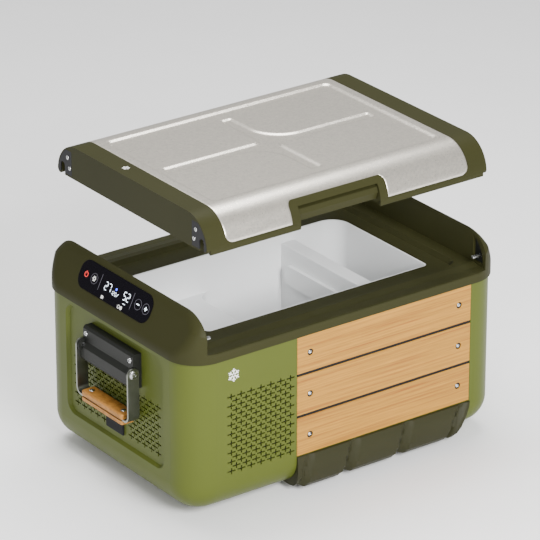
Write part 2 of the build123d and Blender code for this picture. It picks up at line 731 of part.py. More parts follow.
for end, end_name in ((-1, "left"), (1, "right")):
    pivot_x = end * handle_pivot_x
    with BuildPart() as handle_bracket:
        add(bar_along_y([(end * x, z) for x, z in bracket_outline], -bracket_half, bracket_half))
        inside = bracket_half - bracket_end
        add(bar_along_y([(end * x, z) for x, z in bracket_cavity], -inside, inside), mode=Mode.SUBTRACT)
        for side in (-1, 1):
            boss_y = side * (bracket_half - bracket_end / 2)
            with Locations(Location((pivot_x, boss_y, handle_pivot_z), (90, 0, 0))):
                Cylinder(boss_radius, bracket_end)
            with Locations(Location((pivot_x, side * (bracket_half - 3), handle_pivot_z), (90, 0, 0))):
                Cylinder(pivot_radius + running_gap, 10, mode=Mode.SUBTRACT)
        for y in (-bracket_screw_y, bracket_screw_y):
            with Locations(Location((end * 293, y, bracket_screw_z), (0, 90, 0))):
                Cylinder(screw_radius + 0.1, 30, mode=Mode.SUBTRACT)
    write(handle_bracket, f"handle_bracket_{end_name}")

    with BuildPart() as strap:
        with BuildSketch(Plane.YZ.offset(pivot_x - strap_width / 2)):
            with Locations((0, (arm_top + strap_foot) / 2)):
                Rectangle(2 * strap_half, arm_top - strap_foot)
            with Locations((0, (arm_top + strap_foot) / 2 + 20)):
                RectangleRounded(
                    2 * (strap_half - strap_thick), arm_top - strap_foot + 40 - 2 * strap_thick, 9,
                    mode=Mode.SUBTRACT,
                )
        extrude(amount=strap_width)
        fillet(strap.edges().filter_by(Axis.X).group_by(Axis.Z)[0], 12)
        fillet(strap.edges().filter_by(Axis.Y).group_by(Axis.Z)[-1], strap_width / 2 - 0.2)
        with Locations(Location((pivot_x, 0, handle_pivot_z), (90, 0, 0))):
            Cylinder(pivot_radius, 200, mode=Mode.SUBTRACT)
        for y in (-grip_screw_y, grip_screw_y):
            with Locations((pivot_x, y, bar_z)):
                Cylinder(screw_radius + 0.1, 12, mode=Mode.SUBTRACT)
    write(strap, f"handle_strap_{end_name}")

    upper_low = bar_z + strap_thick / 2
    lower_high = bar_z - strap_thick / 2
    for half_name, low, high in (("upper", upper_low, upper_low + 8), ("lower", lower_high - 7, lower_high)):
        with BuildPart() as grip:
            add(block(pivot_x - grip_width / 2, pivot_x + grip_width / 2, -grip_half, grip_half, low, high))
            fillet(grip.edges().filter_by(Axis.Z), 4)
            outer_face = grip.faces().sort_by(Axis.Z)[-1 if half_name == "upper" else 0]
            fillet(outer_face.edges(), 2.5)
            for y in (-grip_screw_y, grip_screw_y):
                with Locations((pivot_x, y, bar_z)):
                    Cylinder(screw_radius + 0.1, 30, mode=Mode.SUBTRACT)
                if half_name == "upper":
                    with Locations((pivot_x, y, high)):
                        Cylinder(4.6, 2.4, mode=Mode.SUBTRACT)
        write(grip, f"grip_{half_name}_{end_name}")

    with BuildPart() as grip_screws:
        for y in (-grip_screw_y, grip_screw_y):
            with Locations((pivot_x, y, upper_low + 7.8)):
                Cylinder(4.3, 2)
            with Locations((pivot_x, y, bar_z)):
                Cylinder(screw_radius, 17)
    write(grip_screws, f"grip_screws_{end_name}")

    with BuildPart() as pivot_screws:
        for side in (-1, 1):
            with Locations(Location((pivot_x, side * (strap_half + 1.1), handle_pivot_z), (90, 0, 0))):
                Cylinder(7.0, 2.2)
            with Locations(Location((pivot_x, side * (strap_half - 5.5), handle_pivot_z), (90, 0, 0))):
                Cylinder(pivot_radius, 11)
    write(pivot_screws, f"pivot_screws_{end_name}")

with BuildPart() as bracket_screws:
    for end in (-1, 1):
        for y in (-bracket_screw_y, bracket_screw_y):
            with Locations(Location((end * (bracket_face_x + 1), y, bracket_screw_z), (0, 90, 0))):
                Cylinder(4.2, 2)
            shank_x = end * (bracket_face_x + recess_floor_x) / 2
            with Locations(Location((shank_x, y, bracket_screw_z), (0, 90, 0))):
                Cylinder(screw_radius, bracket_face_x - recess_floor_x)
write(bracket_screws, "bracket_screws")

# ---- lid: one outline for every layer ----
lid_edge_radius = 7.0


def lid_bar(inset, x_low, x_high):
    """Bar along X with the lid's outline drawn inwards by inset."""
    big = cheek_round - inset
    small = lid_edge_radius - inset
    big_y = half_width - cheek_round
    big_z = lid_top - cheek_round
    small_z = lid_z + lid_edge_radius
    apart = cheek_round - lid_edge_radius
    reach = sqrt(apart ** 2 - (small_z - big_z) ** 2)
    small_y = big_y + reach
    meet = (big_y + reach * big / apart, big_z + (small_z - big_z) * big / apart)
    mirror_meet = (-meet[0], meet[1])
    foot = small_z - small
    top = big_z + big
    with BuildPart() as bar:
        with BuildSketch(Plane.YZ.offset(x_low)):
            with BuildLine():
                Line((-small_y, foot), (small_y, foot))
                RadiusArc((small_y, foot), meet, -small)
                RadiusArc(meet, (big_y, top), -big)
                Line((big_y, top), (-big_y, top))
                RadiusArc((-big_y, top), mirror_meet, -big)
                RadiusArc(mirror_meet, (-small_y, foot), -small)
            make_face()
        extrude(amount=x_high - x_low)
    return bar.part


cover_edge = 8.0
notch_border = 14.5
notch_border_top = 40.0
lid_hollow_x = lid_half - lid_end_wall
flange_y = 156.0

press_x = 209.0
press_y = 141.5
press_depth = 2.2
cross_x = -5.5
cross_half = 11.0
cross_depth = 2.0
cross_arms = ((-195.0, 188.0), (-121.0, 115.0))
window_x = 212.0
window_y = 143.5


def pressed_cross(grow, low, high):
    """Upright prism of the cross pressed into the cover, grown sideways by grow."""
    (x0, x1), (y0, y1) = cross_arms
    half = cross_half + grow
    with BuildPart() as cross:
        add(block(x0 - grow, x1 + grow, -half, half, low, high))
        add(block(cross_x - half, cross_x + half, y0 - grow, y1 + grow, low, high))
    return cross.part


# ---- sheet metal lid cover, pressed on top, with clearance around both latch notches ----
with BuildPart() as lid_cover:
    add(lid_bar(0, -cover_x, cover_x))
    add(lid_bar(cover_skin, -cover_x - 1, cover_x + 1), mode=Mode.SUBTRACT)
    with BuildSketch(Plane.XZ.offset(-half_width - 1)):
        with Locations((0, lid_z + cover_edge + 35)):
            RectangleRounded(2 * cover_x, 70, 14)
        with Locations(((notch_x0 + notch_x1) / 2, lid_z + notch_border_top - 30)):
            RectangleRounded(notch_x1 - notch_x0 + 2 * notch_border, 60, 9, mode=Mode.SUBTRACT)
    extrude(amount=body_width + 2, mode=Mode.INTERSECT)
    pressed_low = lid_top - press_depth - cross_depth - cover_skin
    add(block(-window_x + 0.5, window_x - 0.5, -window_y + 0.5, window_y - 0.5, pressed_low, lid_top - 1))
    with BuildSketch(Plane.XY.offset(lid_top - press_depth)):
        RectangleRounded(2 * press_x - 10, 2 * press_y - 10, 10)
    extrude(amount=press_depth + 1, taper=-60, mode=Mode.SUBTRACT)
    add(pressed_cross(0, lid_top - press_depth - cross_depth, lid_top), mode=Mode.SUBTRACT)
    with BuildPart(mode=Mode.PRIVATE) as underside:
        under_x = press_x - 3
        under_y = press_y - 3
        under_z = lid_top - press_depth - cover_skin
        add(block(-under_x, under_x, -under_y, under_y, pressed_low - 1, under_z))
        add(pressed_cross(cover_skin, pressed_low - 2, lid_top), mode=Mode.SUBTRACT)
    add(underside.part, mode=Mode.SUBTRACT)
write(lid_cover, "lid_cover")

# ---- moulded lid frame: hollow, with two latch notches and slots for the pins ----
slot_y = pin_y
slot_half = 5.5
slot_top = 20.0
notch_wall = 2.6
shaft_y = 163.5
shaft_z = lid_z + 24.0
shaft_radius = 2.8
bar_pivot_y = 174.5
bar_pivot_z = lid_z + 27.0
trunnion_radius = 2.0
plate_thick = 2.0
plate_y0 = 156.5
plate_y1 = 192.5
plate_low = lid_z + 3.0
plate_high = lid_z + 42.0
plate_screws = ((166.5, lid_z + 30.5), (161.5, lid_z + 14.6))


def end_plate(side, end, grow, thick):
    """Bracket plate let into one corner of the lid end, grown all round by grow."""
    low, high = sorted((end * lid_half, end * (lid_half - thick)))
    y_low, y_high = sorted((side * (plate_y0 - grow), side * (plate_y1 + grow)))
    with BuildPart() as plate:
        add(lid_bar(2 - grow, low, high))
        add(block(low - 1, high + 1, y_low, y_high, plate_low - grow, plate_high + grow), mode=Mode.INTERSECT)
    return plate.part


def pin_slot(side, end):
    """Slot open at the bottom, round at the top, through one end wall."""
    low, high = sorted((end * (lid_hollow_x - 1), end * (lid_half + 2)))
    y_low, y_high = sorted((side * (slot_y - slot_half), side * (slot_y + slot_half)))
    with BuildPart() as slot:
        add(block(low, high, y_low, y_high, lid_z - 2, lid_z + slot_top - slot_half))
        with Locations(Location(((low + high) / 2, side * slot_y, lid_z + slot_top - slot_half), (0, 90, 0))):
            Cylinder(slot_half, high - low)
    return slot.part


corners = [(side, end) for side in (-1, 1) for end in (-1, 1)]
with BuildPart() as lid_frame:
    add(lid_bar(0, -lid_half, lid_half))
    add(lid_bar(lid_wall, -lid_hollow_x, lid_hollow_x), mode=Mode.SUBTRACT)
    add(block(-lid_hollow_x, lid_hollow_x, -flange_y, flange_y, lid_z - 1, lid_z + 5), mode=Mode.SUBTRACT)
    for side in (-1, 1):
        back = side * (half_width - notch_depth)
        with BuildPart(mode=Mode.PRIVATE) as notch_box:
            low, high = sorted((back - side * notch_wall, side * (half_width + 5)))
            add(block(
                notch_x0 - notch_wall, notch_x1 + notch_wall, low, high,
                lid_z - 1, lid_z + notch_height + notch_wall,
            ))
            add(lid_bar(0, -lid_half, lid_half), mode=Mode.INTERSECT)
        add(notch_box.part)
        low, high = sorted((back, side * (half_width + 5)))
        add(block(notch_x0, notch_x1, low, high, lid_z - 2, lid_z + notch_height), mode=Mode.SUBTRACT)
        with Locations(Location(((notch_x0 + notch_x1) / 2, side * bar_pivot_y, bar_pivot_z), (0, 90, 0))):
            Cylinder(
                trunnion_radius + running_gap, notch_x1 - notch_x0 + 2 * notch_wall + 0.2, mode=Mode.SUBTRACT
            )
        with Locations(Location((0, side * shaft_y, shaft_z), (0, 90, 0))):
            Cylinder(shaft_radius + running_gap, 2 * (lid_hollow_x + 3.5), mode=Mode.SUBTRACT)
    add(lid_cover.part, mode=Mode.SUBTRACT)
    add(block(-window_x, window_x, -window_y, window_y, lid_top - 8, lid_top + 1), mode=Mode.SUBTRACT)
    for side, end in corners:
        add(pin_slot(side, end), mode=Mode.SUBTRACT)
        low, high = sorted((end * (lid_hollow_x - 6), end * (lid_hollow_x + 0.5)))
        y_low, y_high = sorted((side * 164.5, side * 187.5))
        add(block(low, high, y_low, y_high, lid_z - 1, lid_z + 12), mode=Mode.SUBTRACT)
        add(end_plate(side, end, 0.2, plate_thick + 0.1), mode=Mode.SUBTRACT)
        for y, z in plate_screws:
            with Locations(Location((end * (lid_half - 3), side * y, z), (0, 90, 0))):
                Cylinder(1.6, 6, mode=Mode.SUBTRACT)
write(lid_frame, "lid_frame")

with BuildPart() as lid_end_brackets:
    for side, end in corners:
        with BuildPart(mode=Mode.PRIVATE) as one_plate:
            add(end_plate(side, end, 0, plate_thick))
            add(pin_slot(side, end), mode=Mode.SUBTRACT)
            for y, z in plate_screws:
                with Locations(Location((end * lid_half, side * y, z), (0, 90, 0))):
                    Cylinder(1.6, 6, mode=Mode.SUBTRACT)
        add(one_plate.part)
write(lid_end_brackets, "lid_end_brackets")

with BuildPart() as lid_bracket_screws:
    for side, end in corners:
        for y, z in plate_screws:
            with Locations(Location((end * (lid_half + 0.45), side * y, z), (0, 90, 0))):
                Cylinder(3.4, 0.9)
            with Locations(Location((end * (lid_half - 2.8), side * y, z), (0, 90, 0))):
                Cylinder(1.5, 5.6)
write(lid_bracket_screws, "lid_bracket_screws")

# ---- underside of the lid: panel, foam and seal ----
plug_x = 228.0
plug_y = 147.0
plug_drop = 6.0
with BuildPart() as lid_inner_panel:
    add(block(-lid_hollow_x + 0.3, lid_hollow_x - 0.3, -flange_y + 0.3, flange_y - 0.3, lid_z, lid_z + 3))
    with BuildSketch(Plane.XY.offset(lid_z - plug_drop)):
        RectangleRounded(2 * plug_x, 2 * plug_y, 12)
    extrude(amount=plug_drop)
    with BuildSketch(Plane.XY.offset(lid_z - plug_drop)):
        RectangleRounded(2 * 198, 2 * 114, 10)
    extrude(amount=2.5, taper=30, mode=Mode.SUBTRACT)
write(lid_inner_panel, "lid_inner_panel")

with BuildPart() as lid_seal:
    with BuildSketch(Plane.XY.offset(lid_z - plug_drop - 3.2)):
        RectangleRounded(2 * 224, 2 * 140, 10)
        RectangleRounded(2 * 212, 2 * 128, 6, mode=Mode.SUBTRACT)
    extrude(amount=3.2)
    fillet(lid_seal.faces().sort_by(Axis.Z)[0].edges(), 1.4)
write(lid_seal, "lid_seal")

with BuildPart() as lid_foam:
    add(lid_bar(lid_wall + 0.2, -240, 240))
    add(block(-241, 241, -155, 155, lid_z + 3.1, pressed_low - 0.2), mode=Mode.INTERSECT)
write(lid_foam, "lid_foam")

# ---- latches: a pull bar in each notch, a shaft with two hooks behind it ----
bar_section = [(172.5, 28.5), (176.5, 29.6), (186, 26), (188.5, 18.5), (183, 5.5), (176, 5.5), (173.5, 20)]
hook_section = [
    (159.5, 27.5), (166.5, 28.5), (175.5, 18.5), (175.5, 10.6), (184, 10.6), (184, 8.6), (181, 6.5),
    (170, 6.5), (159.5, 20),
]
hook_x0 = 244.5
hook_x1 = 247.5
bar_side_gap = 0.7
for side, side_name in ((-1, "front"), (1, "rear")):
    with BuildPart() as latch_bar:
        points = [(side * y, lid_z + z) for y, z in bar_section]
        add(bar_along_x(points, notch_x0 + bar_side_gap, notch_x1 - bar_side_gap))
        middle = (notch_x0 + notch_x1) / 2
        with Locations(Location((middle, side * bar_pivot_y, bar_pivot_z), (0, 90, 0))):
            Cylinder(3.6, notch_x1 - notch_x0 - 2 * bar_side_gap)
            Cylinder(trunnion_radius, notch_x1 - notch_x0 + 2 * notch_wall - 0.6)
        long_edges = latch_bar.edges().filter_by(Axis.X)
        fillet(long_edges.filter_by(lambda e: abs(e.center().Y) > 180), 1.6)
    write(latch_bar, f"{side_name}_latch_bar")

    with BuildPart() as latch_hooks:
        with Locations(Location((0, side * shaft_y, shaft_z), (0, 90, 0))):
            Cylinder(shaft_radius, 2 * (lid_hollow_x + 3))
        for end in (-1, 1):
            low, high = sorted((end * hook_x0, end * hook_x1))
            add(bar_along_x([(side * y, lid_z + z) for y, z in hook_section], low, high))
            with Locations(Location((end * (hook_x0 + hook_x1) / 2, side * shaft_y, shaft_z), (0, 90, 0))):
                Cylinder(5.5, hook_x1 - hook_x0)
    write(latch_hooks, f"{side_name}_latch_hooks")
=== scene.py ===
"""Looks of the compressor cooler fridge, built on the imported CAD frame.

Everything is in metres in the CAD's frame: -Y is the front, -X the control panel end.
MM turns the millimetre figures used for small details into metres.
"""
import json
import math

import bmesh
import bpy
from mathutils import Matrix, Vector


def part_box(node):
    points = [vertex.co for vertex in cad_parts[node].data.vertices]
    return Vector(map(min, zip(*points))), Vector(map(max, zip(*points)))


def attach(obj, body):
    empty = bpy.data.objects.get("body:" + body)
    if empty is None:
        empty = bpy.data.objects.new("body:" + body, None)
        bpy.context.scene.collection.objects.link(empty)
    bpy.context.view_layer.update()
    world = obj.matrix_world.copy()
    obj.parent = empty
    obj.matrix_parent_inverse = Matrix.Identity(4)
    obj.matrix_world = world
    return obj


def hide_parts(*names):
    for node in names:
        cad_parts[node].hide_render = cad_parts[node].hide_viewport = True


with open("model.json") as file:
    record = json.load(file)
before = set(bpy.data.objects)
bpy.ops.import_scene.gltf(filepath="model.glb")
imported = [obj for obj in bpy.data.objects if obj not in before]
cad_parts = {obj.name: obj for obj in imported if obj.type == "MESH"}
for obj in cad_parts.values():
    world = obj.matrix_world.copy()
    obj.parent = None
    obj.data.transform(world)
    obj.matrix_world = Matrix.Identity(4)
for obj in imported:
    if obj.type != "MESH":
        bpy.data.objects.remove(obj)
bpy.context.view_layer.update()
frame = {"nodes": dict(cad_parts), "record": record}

nodes = frame["nodes"]
MM = 0.001
SIDES = ((-1, "front"), (1, "rear"))
ENDS = ((-1, "left"), (1, "right"))
# distance of the shell's front face from the middle, in millimetres
FRONT_FACE = 194.5

# ---- camera ----
CAMERA_PLACE = Vector((-3.153, -4.321, 2.665))
CAMERA_AIM = Vector((-0.1043, -0.1378, 0.3519))
camera_data = bpy.data.cameras.new("camera")
camera_data.lens = 257.3
camera_data.sensor_width = 36
camera_data.clip_end = 50
camera = bpy.data.objects.new("camera", camera_data)
camera.location = CAMERA_PLACE
camera.rotation_euler = (CAMERA_AIM - CAMERA_PLACE).to_track_quat("-Z", "Y").to_euler()
bpy.context.scene.collection.objects.link(camera)
bpy.context.scene.camera = camera

# ---- soft studio light and a pale floor ----
world = bpy.data.worlds.new("studio")
world.use_nodes = True
world.node_tree.nodes["Background"].inputs["Color"].default_value = (1.0, 1.0, 1.0, 1)
world.node_tree.nodes["Background"].inputs["Strength"].default_value = 0.53
bpy.context.scene.world = world


def area_light(name, place, aim, size, watts):
    """Soft rectangular light pointing at aim."""
    data = bpy.data.lights.new(name, "AREA")
    data.shape = "RECTANGLE"
    data.size, data.size_y = size
    data.energy = watts
    light = bpy.data.objects.new(name, data)
    light.location = place
    light.rotation_euler = (Vector(aim) - Vector(place)).to_track_quat("-Z", "Y").to_euler()
    bpy.context.scene.collection.objects.link(light)


area_light("key_light", place=(-0.5, -2.8, 1.8), aim=(0, 0, 0.25), size=(1.3, 1.1), watts=178)
area_light("top_light", place=(0.2, 0.6, 2.6), aim=(0, 0, 0.4), size=(2.0, 1.2), watts=90)
area_light("corner_light", place=(-1.7, -2.0, 0.8), aim=(-0.25, -0.15, 0.2), size=(0.2, 1.2), watts=26)


def mesh_object(name, mesh):
    """Links a mesh as an object."""
    made = bpy.data.objects.new(name, mesh)
    bpy.context.scene.collection.objects.link(made)
    return made


def from_lists(name, points, faces, smooth=True):
    """Object from vertex and face lists, normals made consistent."""
    mesh = bpy.data.meshes.new(name)
    mesh.from_pydata(points, [], faces)
    work = bmesh.new()
    work.from_mesh(mesh)
    bmesh.ops.recalc_face_normals(work, faces=work.faces)
    work.to_mesh(mesh)
    work.free()
    for face in mesh.polygons:
        face.use_smooth = smooth
    return mesh_object(name, mesh)


FLOOR_HALF = 12.0
floor = from_lists(
    "studio_floor",
    [(x * FLOOR_HALF, y * FLOOR_HALF, 0) for x, y in ((-1, -1), (1, -1), (1, 1), (-1, 1))],
    [(0, 1, 2, 3)],
)


# ---- procedural materials ----
def new_material(name):
    """Empty node material: returns the material, its tree and its shader."""
    made = bpy.data.materials.new(name)
    made.use_nodes = True
    return made, made.node_tree, made.node_tree.nodes["Principled BSDF"]


def add_node(tree, kind, settings=None, **inputs):
    """New shader node with its settings and unlinked input values."""
    made = tree.nodes.new(kind)
    for key, value in (settings or {}).items():
        setattr(made, key, value)
    for key, value in inputs.items():
        made.inputs[key].default_value = value
    return made


def object_coordinates(tree, stretch=(1, 1, 1)):
    """Socket of object coordinates, stretched along each axis."""
    place = add_node(tree, "ShaderNodeTexCoord")
    mapping = add_node(tree, "ShaderNodeMapping")
    mapping.inputs["Scale"].default_value = stretch
    tree.links.new(place.outputs["Object"], mapping.inputs["Vector"])
    return mapping.outputs["Vector"]


def noise(tree, vector, scale, detail=2.0, roughness=0.5):
    """Noise factor socket."""
    made = add_node(tree, "ShaderNodeTexNoise", Scale=scale, Detail=detail, Roughness=roughness)
    tree.links.new(vector, made.inputs["Vector"])
    return made.outputs["Fac"]


def ramp(tree, factor, stops):
    """Colour ramp socket over (place, colour) stops."""
    made = add_node(tree, "ShaderNodeValToRGB")
    elements = made.color_ramp.elements
    while len(elements) < len(stops):
        elements.new(0.5)
    for element, (place, colour) in zip(elements, stops):
        element.position = place
        element.color = (*colour, 1)
    tree.links.new(factor, made.inputs["Fac"])
    return made.outputs["Color"]


def spread(tree, factor, low, high):
    """Factor remapped to low..high."""
    made = add_node(tree, "ShaderNodeMapRange")
    made.inputs["From Min"].default_value = 0.25
    made.inputs["From Max"].default_value = 0.75
    made.inputs["To Min"].default_value = low
    made.inputs["To Max"].default_value = high
    tree.links.new(factor, made.inputs["Value"])
    return made.outputs["Result"]


def bump(tree, shader, height, strength, distance):
    """Fine relief on the shader's normal."""
    made = add_node(tree, "ShaderNodeBump", Strength=strength, Distance=distance)
    tree.links.new(height, made.inputs["Height"])
    tree.links.new(made.outputs["Normal"], shader.inputs["Normal"])


def shade(colour, amount):
    """Colour made lighter or darker."""
    return tuple(min(1.0, c * amount) for c in colour)


def linear(code):
    """Linear colour from a six-digit screen colour."""
    out = []
    for index in (0, 2, 4):
        value = int(code[index:index + 2], 16) / 255
        out.append(value / 12.92 if value <= 0.04045 else ((value + 0.055) / 1.055) ** 2.4)
    return tuple(out)


def moulded(name, colour, rough=0.45, grain=700.0, grain_depth=0.12, vary=0.05, metallic=0.0, glint=0.35):
    """Moulded plastic, rubber or painted metal: slight tone changes and a fine grain."""
    made, tree, shader = new_material(name)
    place = object_coordinates(tree)
    broad = noise(tree, place, 7.0, 3.0)
    fine = noise(tree, place, grain, 2.0)
    tone = ramp(tree, broad, [(0.3, shade(colour, 1 - vary)), (0.7, shade(colour, 1 + vary))])
    tree.links.new(tone, shader.inputs["Base Color"])
    tree.links.new(spread(tree, fine, rough - 0.05, rough + 0.05), shader.inputs["Roughness"])
    shader.inputs["Metallic"].default_value = metallic
    shader.inputs["Specular IOR Level"].default_value = glint
    shader.inputs["IOR"].default_value = 1.3
    bump(tree, shader, fine, grain_depth, 0.3 * MM)
    return made


def grained_wood(name, pale, deep, along=5.0, across=330.0, rough=0.5):
    """Bamboo: long streaks along the piece, finer pores across them."""
    made, tree, shader = new_material(name)
    broad = noise(tree, object_coordinates(tree, (along, across * 0.5, across)), 1.0, 5.0, 0.62)
    pores = noise(tree, object_coordinates(tree, (along * 9, across * 6, across * 9)), 1.0, 2.0)
    tone = ramp(
        tree, broad, [(0.30, deep), (0.45, shade(pale, 0.84)), (0.55, pale), (0.70, shade(pale, 1.16))],
    )
    flecks = ramp(tree, pores, [(0.35, (0.86, 0.84, 0.80)), (0.55, (1, 1, 1))])
    mix = add_node(tree, "ShaderNodeMix", {"data_type": "RGBA", "blend_type": "MULTIPLY"})
    mix.inputs["Factor"].default_value = 0.8
    tree.links.new(tone, mix.inputs["A"])
    tree.links.new(flecks, mix.inputs["B"])
    tree.links.new(mix.outputs["Result"], shader.inputs["Base Color"])
    tree.links.new(spread(tree, pores, rough + 0.06, rough - 0.06), shader.inputs["Roughness"])
    shader.inputs["Specular IOR Level"].default_value = 0.25
    bump(tree, shader, pores, 0.18, 0.25 * MM)
    return made


def stippled_metal(name, colour, rough=0.4, metallic=0.75):
    """Sheet metal with a fine stipple and a faint mottled tone."""
    made, tree, shader = new_material(name)
    place = object_coordinates(tree)
    stipple = noise(tree, place, 620.0, 2.0, 0.6)
    mottled = noise(tree, place, 240.0, 4.0, 0.65)
    tone = ramp(tree, mottled, [(0.3, shade(colour, 0.86)), (0.7, shade(colour, 1.07))])
    tree.links.new(tone, shader.inputs["Base Color"])
    tree.links.new(spread(tree, stipple, rough - 0.08, rough + 0.08), shader.inputs["Roughness"])
    shader.inputs["Metallic"].default_value = metallic
    bump(tree, shader, stipple, 0.22, 0.3 * MM)
    return made


def brushed_metal(name, colour, rough=0.3, stretch=(900, 60, 900)):
    """Metal with fine drawn lines."""
    made, tree, shader = new_material(name)
    lines = noise(tree, object_coordinates(tree, stretch), 1.0, 2.0)
    tone = ramp(tree, lines, [(0.3, shade(colour, 0.9)), (0.7, shade(colour, 1.05))])
    tree.links.new(tone, shader.inputs["Base Color"])
    tree.links.new(spread(tree, lines, rough - 0.06, rough + 0.06), shader.inputs["Roughness"])
    shader.inputs["Metallic"].default_value = 1.0
    bump(tree, shader, lines, 0.06, 0.1 * MM)
    return made


def glowing(name, colour, power):
    """Lit display element."""
    made, tree, shader = new_material(name)
    flicker = noise(tree, object_coordinates(tree), 300.0)
    tone = ramp(tree, flicker, [(0.3, shade(colour, 0.92)), (0.7, colour)])
    tree.links.new(tone, shader.inputs["Base Color"])
    tree.links.new(tone, shader.inputs["Emission Color"])
    shader.inputs["Emission Strength"].default_value = power
    shader.inputs["Roughness"].default_value = 0.4
    return made


materials = {
    "shell_green": moulded(
        "green_plastic", linear("4A521D"), rough=0.42, grain=900, grain_depth=0.10, vary=0.03,
    ),
    "trim_olive": moulded(
        "olive_plastic", linear("2D2D17"), rough=0.5, grain=900, grain_depth=0.12, vary=0.04, glint=0.2,
    ),
    "bumper_olive": moulded(
        "bumper_plastic", linear("2A2A18"), rough=0.5, grain=700, grain_depth=0.2, vary=0.05,
    ),
    "dark_plastic": moulded(
        "dark_plastic", linear("181817"), rough=0.55, grain=700, grain_depth=0.2, vary=0.08,
    ),
    "soft_rubber": moulded("soft_rubber", linear("17181A"), rough=0.7, grain=500, grain_depth=0.3, vary=0.08),
    "steel_hardware": brushed_metal("steel_hardware", linear("B8B9BA"), rough=0.25),
    "keeper_grey": moulded(
        "grey_plastic", linear("1C1D1A"), rough=0.42, grain=900, grain_depth=0.1, vary=0.05,
    ),
    "liner_white": moulded(
        "white_liner", linear("E4E5E5"), rough=0.4, grain=500, grain_depth=0.08, vary=0.015,
    ),
    "foam_cream": moulded("cream_foam", linear("D9CFA0"), rough=0.9, grain=300, grain_depth=0.6, vary=0.06),
    "slat_wood": grained_wood("slat_bamboo", pale=linear("AC7A2C"), deep=linear("8E541C")),
    "grip_wood": grained_wood(
        "grip_bamboo", pale=linear("A87434"), deep=linear("8A5620"), along=120.0, across=190.0,
    ),
    "compressor_black": moulded(
        "compressor_paint", linear("141416"), rough=0.35, grain=300, grain_depth=0.1, vary=0.1, metallic=0.4,
    ),
    "plate_aluminium": brushed_metal("fin_aluminium", linear("B4B6B8"), rough=0.35),
    "board_green": moulded("board_green", linear("164527"), rough=0.4, grain=400, grain_depth=0.1, vary=0.15),
    "panel_gloss": moulded(
        "gloss_panel", linear("0A080E"), rough=0.25, grain=900, grain_depth=0.02, vary=0.04, glint=0.16,
    ),
    "strap_steel": brushed_metal("strap_steel", linear("85877F"), rough=0.33, stretch=(60, 900, 60)),
    "lid_metal": stippled_metal("lid_metal", linear("DAD4C8"), rough=0.33, metallic=0.9),
    "bracket_black": moulded(
        "bracket_paint", linear("1A1A1D"), rough=0.4, grain=700, grain_depth=0.15, vary=0.1, metallic=0.2,
    ),
    "white_print": moulded(
        "white_print", linear("E8E8E4"), rough=0.5, grain=700, grain_depth=0.05, vary=0.03,
    ),
    "display_white": glowing("display_white", (0.80, 0.90, 1.0), power=2.2),
    "display_blue": glowing("display_blue", (0.05, 0.08, 0.95), power=4.0),
    "display_red": glowing("display_red", (0.75, 0.05, 0.04), power=0.6),
    "display_line": moulded(
        "display_line", linear("56545C"), rough=0.4, grain=500, grain_depth=0.05, vary=0.05,
    ),
    "floor_paper": moulded(
        "floor_paper", (0.95, 0.95, 0.95), rough=0.8, grain=60, grain_depth=0.05, vary=0.01,
    ),
}
floor.data.materials.append(materials["floor_paper"])
slot_of = {part["node"]: part["material_slot"] for part in frame["record"]["subparts"]}
for node_name, node_object in nodes.items():
    for material_slot in node_object.material_slots:
        material_slot.material = materials[slot_of[node_name]]


def piece(made, body, look, replaced=()):
    """Gives a new piece its material, its body and the CAD nodes it stands for."""
    made.data.materials.append(materials[look])
    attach(made, body)
    if replaced:
        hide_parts(*replaced)
    return made


def smooth_step(low, high, value):
    """0 below low, 1 above high, smooth between."""
    t = max(0.0, min(1.0, (value - low) / (high - low)))
    return t * t * (3 - 2 * t)


# ---- pressed sheet metal lid cover ----
cover_low, cover_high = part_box("lid_cover")
lid_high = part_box("lid_frame")[1]
COVER_HALF_X = cover_high.x
COVER_EDGE_Z = cover_low.z
COVER_CORNER = 14 * MM
EDGE_ROLL, EDGE_ROLL_WIDTH = 0.5 * MM, 1.8 * MM
LID_RADIUS = 50 * MM
LID_HALF_Y = lid_high.y
ARC_Y = LID_HALF_Y - LID_RADIUS
ARC_Z = lid_high.z - LID_RADIUS
NOTCH_X = (-104 * MM, 70.5 * MM)
NOTCH_TOP = lid_high.z - 12.5 * MM
NOTCH_CORNER = 9 * MM
PRESS_SLOPE = 5.6 * MM
RECESS_X, RECESS_Y, RECESS_CORNER = 209 * MM, 141.5 * MM, 12 * MM
RECESS_DEEP = 2.6 * MM
CROSS_X, CROSS_Y = -5.5 * MM, 0.0
CROSS_HALF = 11.5 * MM
CROSS_ROUND = 52 * MM
CROSS_SHARP = 9 * MM
CROSS_DEEP = 2.3 * MM
ARM_X = (-195 * MM, 188 * MM)
ARM_Y = (-121 * MM, 115 * MM)
ARM_CORNER = 5 * MM
SHEET_THICK = 0.7 * MM
SHEET_STEP = 1.8 * MM
# half heights of the outline boxes: one reaches past the lid's top, the other past the sheet's lower edge
SHEET_REACH, NOTCH_REACH = 60 * MM, 40 * MM


def box_distance(x, y, half_x, half_y, corner):
    """Signed distance to a rounded rectangle, negative inside."""
    dx = abs(x) - half_x + corner
    dy = abs(y) - half_y + corner
    return math.hypot(max(dx, 0), max(dy, 0)) + min(max(dx, dy), 0) - corner


